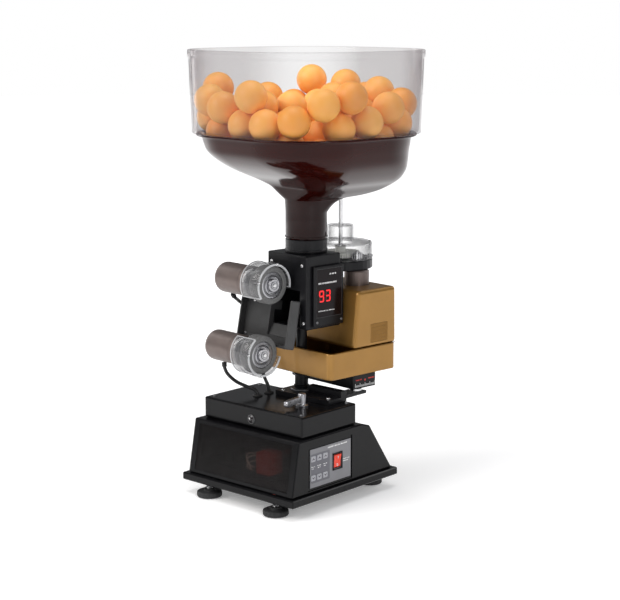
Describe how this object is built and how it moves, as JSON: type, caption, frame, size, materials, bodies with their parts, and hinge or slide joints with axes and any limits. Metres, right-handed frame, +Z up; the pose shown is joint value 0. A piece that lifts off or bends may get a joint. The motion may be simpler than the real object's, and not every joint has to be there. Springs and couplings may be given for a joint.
{
  "type": "table tennis ball machine",
  "caption": "Table-tennis ball machine: clear hopper over a smoked bowl and neck, tilting head with a pair of driven wheels, gold housing with display, sweeping on a wedge-shaped black base",
  "frame": {"origin": "on the floor, under the hopper's centre, which is the middle of the bounding box", "axes": "+Z up; balls leave towards -Y; the control panel faces +X; rest pose has the turret turned 5.6 degrees clockwise from above and the head tipped back 11 degrees"},
  "size_m": [0.2704, 0.2703, 0.555],
  "materials": {
    "black_plastic": "glossy black ABS",
    "satin_black": "satin black",
    "grey_plastic": "dark grey moulded",
    "smoked_window": "dark smoked acrylic",
    "panel_grey": "grey printed panel",
    "red_plastic": "red moulded",
    "rubber": "black rubber",
    "lamp_dome": "dark infrared lens",
    "steel": "bright steel",
    "bright_metal": "turned aluminium",
    "coil_red": "red winding tape",
    "board_green": "green circuit board",
    "gold": "satin gold paint",
    "display_glass": "dark display window",
    "smoked_red": "dark smoked red-brown plastic",
    "clear_plastic": "clear polycarbonate",
    "white_plastic": "white nylon",
    "motor_can": "grey-brown motor can",
    "shell_grey": "dark grey moulded",
    "tyre": "grey foam rubber",
    "lead_black": "black cable"
  },
  "bodies": {
    "base": {"base_plate": "black_plastic", "lower_body": "black_plastic", "top_cover": "black_plastic", "front_window": "smoked_window", "control_panel": "panel_grey", "transformer_core": "steel", "transformer_coil": "coil_red", "power_board": "board_green", "power_jack": "grey_plastic", "remote_receiver": "lamp_dome", "cable_grommet_1": "rubber", "cable_grommet_2": "rubber", "cable_grommet_3": "rubber", "turntable_plate": "satin_black", "pivot_shaft": "steel"},
    "turret": {"pivot_bushing": "satin_black", "lower_tray": "gold", "rear_cover": "gold", "side_vent": "gold", "sweep_gearbox": "satin_black", "head_block": "satin_black", "display_housing": "satin_black", "display_window": "display_glass", "neck_collar": "satin_black", "hopper_bowl": "smoked_red", "hopper_collar": "clear_plastic", "gear_case_base": "satin_black", "gear_case_cover": "clear_plastic", "feed_motor": "motor_can", "lower_motor_lead": "lead_black", "upper_motor_lead": "lead_black"},
    "head": {"launch_shell": "shell_grey", "upper_motor": "motor_can", "lower_motor": "motor_can", "upper_bracket": "shell_grey", "lower_bracket": "shell_grey", "upper_wheel_guard": "clear_plastic", "lower_wheel_guard": "clear_plastic"},
    "upper_wheel": {"upper_axle": "steel", "upper_wheel_hub": "bright_metal", "upper_wheel_tyre": "tyre"},
    "lower_wheel": {"lower_axle": "steel", "lower_wheel_hub": "bright_metal", "lower_wheel_tyre": "tyre"},
    "crank": {"sweep_crank": "steel"},
    "stirrer": {"stirrer_shaft": "steel", "stirrer_gear": "white_plastic"},
    "pinion": {"drive_pinion": "steel"},
    "clamp": {"clamp_lever": "bright_metal"},
    "rocker": {"power_rocker": "red_plastic"},
    "key_up_1": {"key_up_1": "panel_grey"},
    "key_up_2": {"key_up_2": "panel_grey"},
    "key_up_3": {"key_up_3": "panel_grey"},
    "key_down_1": {"key_down_1": "panel_grey"},
    "key_down_2": {"key_down_2": "panel_grey"},
    "key_down_3": {"key_down_3": "panel_grey"},
    "foot_front_left": {"foot_front_left": "rubber"},
    "foot_front_right": {"foot_front_right": "rubber"},
    "foot_rear_left": {"foot_rear_left": "rubber"},
    "foot_rear_right": {"foot_rear_right": "rubber"}
  },
  "joints": [
    {"name": "turret_sweep", "type": "hinge", "parent": "base", "child": "turret", "pos_m": [-0.0008, -0.0082, 0.15], "axis": [0, 0, 1], "range_deg": [-12.4, 23.6], "deforming": ["lower_motor_lead", "upper_motor_lead"]},
    {"name": "crank_spin", "type": "hinge", "parent": "turret", "child": "crank", "pos_m": [0.05983, 0.02605, 0.135], "axis": [0, 0, 1], "range_deg": [-56, 107]},
    {"name": "head_tilt", "type": "hinge", "parent": "turret", "child": "head", "pos_m": [-0.00236, -0.02412, 0.236], "axis": [0.9952, -0.0976, 0], "range_deg": [-6.8, 3.4]},
    {"name": "upper_wheel_spin", "type": "hinge", "parent": "head", "child": "upper_wheel", "pos_m": [-0.00626, -0.06392, 0.26924], "axis": [0.9952, -0.0976, 0], "continuous": true},
    {"name": "lower_wheel_spin", "type": "hinge", "parent": "head", "child": "lower_wheel", "pos_m": [-0.00788, -0.08045, 0.18384], "axis": [0.9952, -0.0976, 0], "continuous": true},
    {"name": "stirrer_spin", "type": "hinge", "parent": "turret", "child": "stirrer", "pos_m": [-0.00324, 0.06941, 0.293], "axis": [0, 0, 1], "continuous": true},
    {"name": "pinion_spin", "type": "hinge", "parent": "turret", "child": "pinion", "pos_m": [0.02692, 0.06645, 0.293], "axis": [0, 0, 1], "continuous": true},
    {"name": "clamp_turn", "type": "hinge", "parent": "base", "child": "clamp", "pos_m": [0.0417, -0.0542, 0.1213], "axis": [0, 0, 1], "range_deg": [-75, 75]},
    {"name": "power_switch", "type": "hinge", "parent": "base", "child": "rocker", "pos_m": [0.0852, -0.0414, 0.0575], "axis": [0, -1, 0], "range_deg": [0, 12]},
    {"name": "key_up_1_press", "type": "slide", "parent": "base", "child": "key_up_1", "axis": [-1, 0, 0], "range_m": [0, 0.001], "stiffness_N_per_m": 400},
    {"name": "key_down_1_press", "type": "slide", "parent": "base", "child": "key_down_1", "axis": [-1, 0, 0], "range_m": [0, 0.001], "stiffness_N_per_m": 400},
    {"name": "key_up_2_press", "type": "slide", "parent": "base", "child": "key_up_2", "axis": [-1, 0, 0], "range_m": [0, 0.001], "stiffness_N_per_m": 400},
    {"name": "key_down_2_press", "type": "slide", "parent": "base", "child": "key_down_2", "axis": [-1, 0, 0], "range_m": [0, 0.001], "stiffness_N_per_m": 400},
    {"name": "key_up_3_press", "type": "slide", "parent": "base", "child": "key_up_3", "axis": [-1, 0, 0], "range_m": [0, 0.001], "stiffness_N_per_m": 400},
    {"name": "key_down_3_press", "type": "slide", "parent": "base", "child": "key_down_3", "axis": [-1, 0, 0], "range_m": [0, 0.001], "stiffness_N_per_m": 400},
    {"name": "foot_front_left_level", "type": "slide", "parent": "base", "child": "foot_front_left", "axis": [0, 0, -1], "range_m": [0, 0.006]},
    {"name": "foot_front_right_level", "type": "slide", "parent": "base", "child": "foot_front_right", "axis": [0, 0, -1], "range_m": [0, 0.006]},
    {"name": "foot_rear_left_level", "type": "slide", "parent": "base", "child": "foot_rear_left", "axis": [0, 0, -1], "range_m": [0, 0.006]},
    {"name": "foot_rear_right_level", "type": "slide", "parent": "base", "child": "foot_rear_right", "axis": [0, 0, -1], "range_m": [0, 0.006]}
  ],
  "couplings": [
    {"joint": "crank_spin", "follows": "turret_sweep", "ratio": 4.5},
    {"joint": "pinion_spin", "follows": "stirrer_spin", "ratio": -4}
  ]
}
